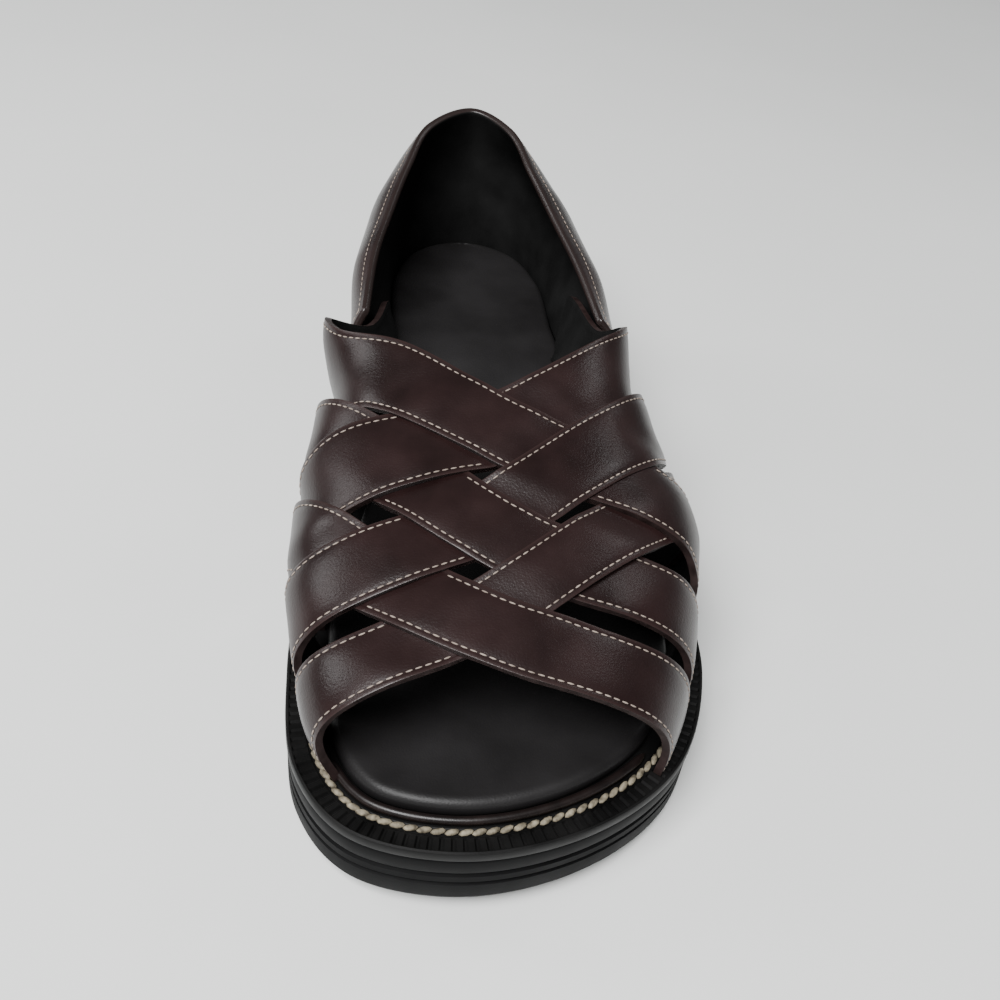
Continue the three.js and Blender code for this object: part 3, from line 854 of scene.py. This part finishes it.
def leather_wall(piece, thickness, rim, face_leather, lining, edge):
    for finish in (face_leather, lining, edge):
        piece.data.materials.append(finish)
    wall = piece.modifiers.new("wall", "SOLIDIFY")
    wall.thickness = thickness * MM
    wall.offset = -1
    wall.material_offset = 1
    wall.material_offset_rim = 2
    rounding = piece.modifiers.new("rounding", "BEVEL")
    rounding.width = rim * MM
    rounding.segments = 2
    rounding.limit_method = "ANGLE"
    rounding.angle_limit = math.radians(50)
    piece.modifiers.new("even_shading", "WEIGHTED_NORMAL")


# The strap faces get a painted edge highlight, a lighter band along their edges.
paint_edge_highlight(strap_leather, (0.028, 0.0155, 0.0145))
leather_wall(vamp, STRAP_THICKNESS, 0.35, strap_leather, strap_lining, edge_paint)
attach(vamp, "root")
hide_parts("vamp")

# Strap stitching: beige thread sewn along both edges of every strap, about eleven stitches to the inch.
# Each stitch lies in a slight dip, and none is sewn where another strap covers the edge.
STITCH_PITCH = 2.25
STITCH_LENGTH = 1.9
THREAD_WIDTH = 0.45
THREAD_FLATNESS = 2.6
THREAD_SINK = 0.2
ROW_STEPS = 500


def sew(bm, line, outs, keep=None):
    row = bmesh.new()
    steps = np.linalg.norm(np.diff(line, axis=0), axis=1)
    walked = np.concatenate([[0], np.cumsum(steps)])
    for mark in np.arange(STITCH_PITCH / 2, walked[-1], STITCH_PITCH):
        i = min(int(np.searchsorted(walked, mark)), len(line) - 2)
        if keep is not None and not keep[i]:
            continue
        spot = Vector([np.interp(mark, walked, line[:, k]) for k in range(3)])
        along = Vector(line[i + 1] - line[i - 1]).normalized()
        out = Vector(outs[i])
        out = (out - along * out.dot(along)).normalized()
        side = out.cross(along)
        turn = Matrix((along, side, out)).transposed().to_4x4()
        shape = Matrix.Diagonal((STITCH_LENGTH / 2, THREAD_WIDTH / 2, THREAD_WIDTH / THREAD_FLATNESS, 1))
        laid = Matrix.Translation(spot) @ turn @ shape
        bmesh.ops.create_uvsphere(row, u_segments=6, v_segments=5, radius=1, matrix=laid)
    sewn = bpy.data.meshes.new("sewn_row")
    row.to_mesh(sewn)
    row.free()
    bm.from_mesh(sewn)
    bpy.data.meshes.remove(sewn)


stitching = bmesh.new()
for strap in straps:
    for aside in (STITCH_INSET - strap.width / 2, strap.width / 2 - STITCH_INSET):
        front = strap.foot(-strap.rear_side, np.array([aside]))[0]
        rear = strap.foot(strap.rear_side, np.array([aside]))[0]
        if strap.order == 1:
            rear = TAB_END * strap.rear_side
        runs = np.linspace(front, rear, ROW_STEPS)
        asides = np.full(ROW_STEPS, aside)
        girth, station = strap.spot(runs, asides)
        keep = np.ones(ROW_STEPS, bool)
        for other in straps:
            if other is not strap and other.lies_over(strap):
                keep &= other.away(girth, station) > other.width / 2 + 0.4
        line = strap.point(runs, asides, np.full(ROW_STEPS, STRAP_THICKNESS / 2 - THREAD_SINK))
        sew(stitching, line, last_normal(girth, station), keep)
stitching = finished_piece("strap_stitching", stitching, 180)
thread = surface_finish(
    "thread",
    dark=(0.19, 0.15, 0.125),
    light=(0.37, 0.31, 0.265),
    patch=2.2,
    rough=(0.55, 0.75),
    grain=0.25,
    grain_depth=0.06,
    specular=0.3,
)
stitching.data.materials.append(thread)
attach(stitching, "root")

# Heel quarter: one stiffened piece of the same leather round the heel, lined in black.
# Its topline is folded over and sewn, and it takes the rear tabs of the straps inside its front edges.
QUARTER_THICKNESS = 2.6
QUARTER_SWELL_IN = 8.5
QUARTER_SWELL_OUT = 11
QUARTER_SWELL_BACK = 3
QUARTER_SLACK = 0.4
QUARTER_STEPS = 170
QUARTER_RISES = 30
QUARTER_RUN = 240
TOP_SEAM = 3
# Each row: station, inner and outer edge of the foot; station, inner and outer edge, height of the top
quarter_rows = [
    (151, -34, 38, 166, -36.5, 36, 60), (182, -31, 33.5, 190, -33.5, 30.5, 67),
    (210, -29.5, 30.5, 211, -28.5, 24.5, 73), (234, -28, 29, 232, -22.5, 18, 80),
    (255, -19.5, 20.5, 251.5, -15.2, 12.2, 86.2),
]
foot_inner = [Vector((row[1], row[0], 0)) for row in quarter_rows]
foot_outer = [Vector((row[2], row[0], 0)) for row in reversed(quarter_rows)]
foot_line = smooth_path(foot_inner + [Vector((0.5, 265.5, 0))] + foot_outer, closed=False)
top_inner = [Vector((row[4], row[3], row[6])) for row in quarter_rows]
top_outer = [Vector((row[5], row[3], row[6])) for row in reversed(quarter_rows)]
topline = smooth_path(top_inner + [Vector((0, 262, 88.5))] + top_outer, closed=False)


def quarter_out(place):
    step = 0.002
    low = foot_line(place + step) - foot_line(place - step)
    high = topline(place + step) - topline(place - step)
    along = low.normalized() + high.normalized()
    return Vector((-along.y, along.x, 0)).normalized()


def quarter_height(place):
    return topline(place).z - float(welt_top(foot_line(place).y)) - LAYER_GAP


def quarter_swell(place, up):
    side = 2 * place - 1
    full = QUARTER_SWELL_IN if side < 0 else QUARTER_SWELL_OUT
    size = QUARTER_SWELL_BACK + (full - QUARTER_SWELL_BACK) * float(smooth_between(abs(side), 0, 0.5))
    slack = 1 - QUARTER_SLACK * float(smooth_between(abs(side), 0.72, 1))
    return size * slack * math.sin(math.pi * up ** 1.7)


def quarter_point(place, up, stand):
    low = foot_line(place)
    low.z = float(welt_top(low.y)) + LAYER_GAP
    out = quarter_out(place)
    point = low.lerp(topline(place), up) + out * (quarter_swell(place, up) + stand)
    point.y -= SOLE_LENGTH / 2
    return point


quarter = bmesh.new()
from_edge = quarter.verts.layers.float.new("from_edge")
made = bmesh.ops.create_grid(quarter, x_segments=QUARTER_STEPS, y_segments=QUARTER_RISES, size=1)["verts"]
for vert in made:
    place = (vert.co.x + 1) / 2
    up = (vert.co.y + 1) / 2
    below_top = (1 - up) * quarter_height(place)
    dip = -SEAM_DIP * math.exp(-(((below_top - TOP_SEAM) / 0.5) ** 2))
    vert.co = quarter_point(place, up, QUARTER_THICKNESS / 2 + dip)
    vert[from_edge] = min(below_top, QUARTER_RUN * place, QUARTER_RUN * (1 - place))
quarter.normal_update()
quarter.faces.ensure_lookup_table()
inner_front_face = quarter.faces[0]
if inner_front_face.normal.x > 0:
    bmesh.ops.reverse_faces(quarter, faces=quarter.faces)
quarter = finished_piece("heel_quarter", quarter, 60)
quarter_leather = surface_finish(
    "quarter_leather",
    dark=(0.0088, 0.0040, 0.0039),
    light=(0.0182, 0.0082, 0.0080),
    patch=18,
    rough=(0.25, 0.35),
    grain=0.55,
    grain_depth=0.1,
    specular=0.36,
)
# The quarter's face gets a painted edge highlight, a lighter band along its topline and front edges.
paint_edge_highlight(quarter_leather, (0.018, 0.0125, 0.0115))
leather_wall(quarter, QUARTER_THICKNESS, 0.8, quarter_leather, strap_lining, quarter_leather)
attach(quarter, "root")
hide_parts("quarter")

# Quarter stitching: the same beige thread, one row below the folded topline and one along each
# front edge, which holds the leather to its lining.
TOP_ROW_STEPS = 600
FRONT_ROW_STEPS = 200
FRONT_ROW_PLACES = (0.012, 0.988)
quarter_thread = bmesh.new()
top_run = []
top_outs = []
for place in np.linspace(0.01, 0.99, TOP_ROW_STEPS):
    up = 1 - TOP_SEAM / quarter_height(place)
    top_run.append(quarter_point(place, up, QUARTER_THICKNESS / 2 - 0.1))
    top_outs.append(quarter_out(place))
sew(quarter_thread, np.array(top_run), np.array(top_outs))
for place in FRONT_ROW_PLACES:
    rises = np.linspace(0.03, 0.92, FRONT_ROW_STEPS)
    front_run = np.array([quarter_point(place, up, QUARTER_THICKNESS / 2 - 0.05) for up in rises])
    sew(quarter_thread, front_run, np.array([quarter_out(place)] * FRONT_ROW_STEPS))
quarter_thread = finished_piece("quarter_stitching", quarter_thread, 180)
quarter_thread.data.materials.append(thread)
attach(quarter_thread, "root")

# Floor: a plain pale table top under soft studio light, from one large lamp above the toe, two faint
# ones at the sides, and an even grey surround.
TABLE_HALF_SIZE = 4000
table_top = bmesh.new()
bmesh.ops.create_grid(table_top, x_segments=8, y_segments=8, size=TABLE_HALF_SIZE)
table_top = finished_piece("table_top", table_top)
paper = surface_finish(
    "paper",
    dark=(0.78, 0.79, 0.78),
    light=(0.84, 0.85, 0.84),
    patch=300,
    rough=(0.7, 0.8),
    grain=1.5,
    grain_depth=0.02,
    specular=0.2,
)
table_top.data.materials.append(paper)
LAMP_AIM = Vector((0, 0, 0.04))


def soft_lamp(name, location, size, power):
    lamp_data = bpy.data.lights.new(name, "AREA")
    lamp_data.shape = "RECTANGLE"
    lamp_data.size = size[0]
    lamp_data.size_y = size[1]
    lamp_data.energy = power
    lamp = bpy.data.objects.new(name, lamp_data)
    lamp.location = location
    lamp.rotation_euler = (LAMP_AIM - Vector(location)).to_track_quat("-Z", "Y").to_euler()
    bpy.context.collection.objects.link(lamp)


soft_lamp("window_lamp", (-1.0, 0.35, 0.7), (0.3, 0.5), 3)
soft_lamp("front_lamp", (-0.5, -0.7, 1.4), (1.0, 0.8), 56)
soft_lamp("fill_lamp", (0.9, 0.5, 1.1), (0.3, 0.3), 1.5)
surround = bpy.data.worlds.new("surround")
bpy.context.scene.world = surround
surround.use_nodes = True
surround.node_tree.nodes["Background"].inputs["Color"].default_value = (0.8, 0.82, 0.82, 1)
surround.node_tree.nodes["Background"].inputs["Strength"].default_value = 0.2
